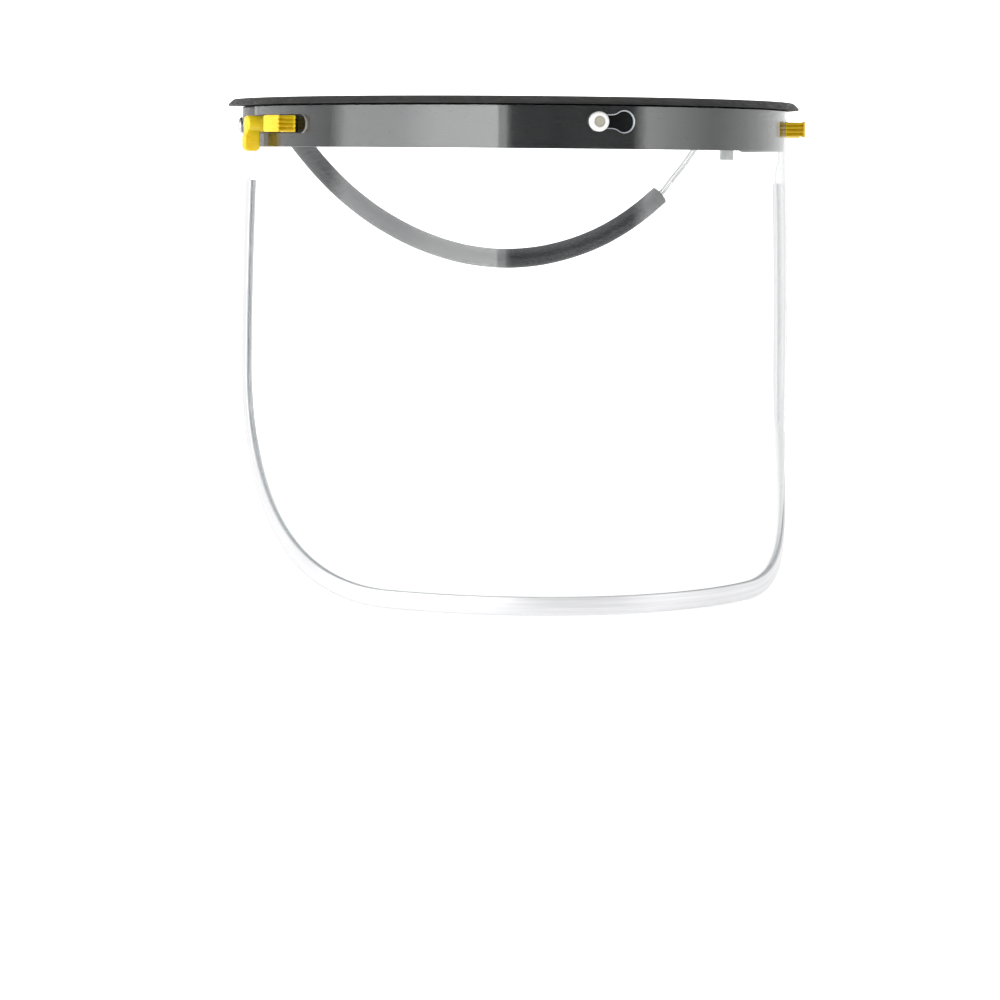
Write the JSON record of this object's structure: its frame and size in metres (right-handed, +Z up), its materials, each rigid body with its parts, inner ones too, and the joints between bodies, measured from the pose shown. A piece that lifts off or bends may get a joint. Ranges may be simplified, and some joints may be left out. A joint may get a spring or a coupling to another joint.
{
  "type": "hard hat face shield",
  "caption": "Clear wraparound visor with metal edge binding on a U-shaped black carrier with rubber top seal, keyhole stud, yellow side latches and a rear spring strap in a rubber sleeve",
  "frame": {"origin": "the point where the hat's centre line meets the top plane of the rubber seal, at the band's widest line", "axes": "+Z up out of the seal, -Y towards the front of the visor, +X to the right as seen from in front"},
  "size_m": [0.2509, 0.1816, 0.2076],
  "materials": {
    "carrier_plastic": "satin moulded black plastic",
    "seal_rubber": "matte black rubber",
    "clear_sheet": "clear polished polycarbonate",
    "binding": "bright rolled edge binding",
    "stud_plastic": "smooth white plastic",
    "stud_inlay": "grey-beige insert",
    "bright_steel": "bright zinc",
    "yellow_plastic": "smooth yellow plastic",
    "clip_aluminium": "pale satin aluminium",
    "spring_steel": "pale drawn wire",
    "sleeve_rubber": "satin dark grey rubber tube"
  },
  "bodies": {
    "carrier": {"carrier_band": "carrier_plastic", "top_seal": "seal_rubber", "visor_sheet": "clear_sheet", "edge_binding": "binding", "centre_stud": "stud_plastic", "stud_inlay": "stud_inlay", "stud_washer": "bright_steel", "left_guide_block": "yellow_plastic", "right_guide_block": "yellow_plastic", "left_latch_washer": "bright_steel", "right_latch_washer": "bright_steel", "left_strap_clip": "clip_aluminium", "right_strap_clip": "clip_aluminium", "left_end_rivet": "clip_aluminium", "right_end_rivet": "clip_aluminium"},
    "left_latch": {"left_latch_wing": "yellow_plastic", "left_latch_pin": "bright_steel"},
    "right_latch": {"right_latch_wing": "yellow_plastic", "right_latch_pin": "bright_steel"},
    "strap": {"strap_spring": "spring_steel", "strap_sleeve": "sleeve_rubber", "left_spring_hook": "spring_steel", "right_spring_hook": "spring_steel"}
  },
  "joints": [
    {"name": "left_latch_turn", "type": "hinge", "parent": "carrier", "child": "left_latch", "pos_m": [-0.11475, -0.03357, -0.0113], "axis": [-0.9812, -0.1928, 0], "range_deg": [-90, 0]},
    {"name": "right_latch_turn", "type": "hinge", "parent": "carrier", "child": "right_latch", "pos_m": [0.11475, -0.03357, -0.0113], "axis": [0.9812, -0.1928, 0], "range_deg": [-90, 0]},
    {"name": "strap_swing", "type": "hinge", "parent": "carrier", "child": "strap", "pos_m": [0, 0.027, -0.0113], "axis": [1, 0, 0], "range_deg": [-45, 100]}
  ]
}
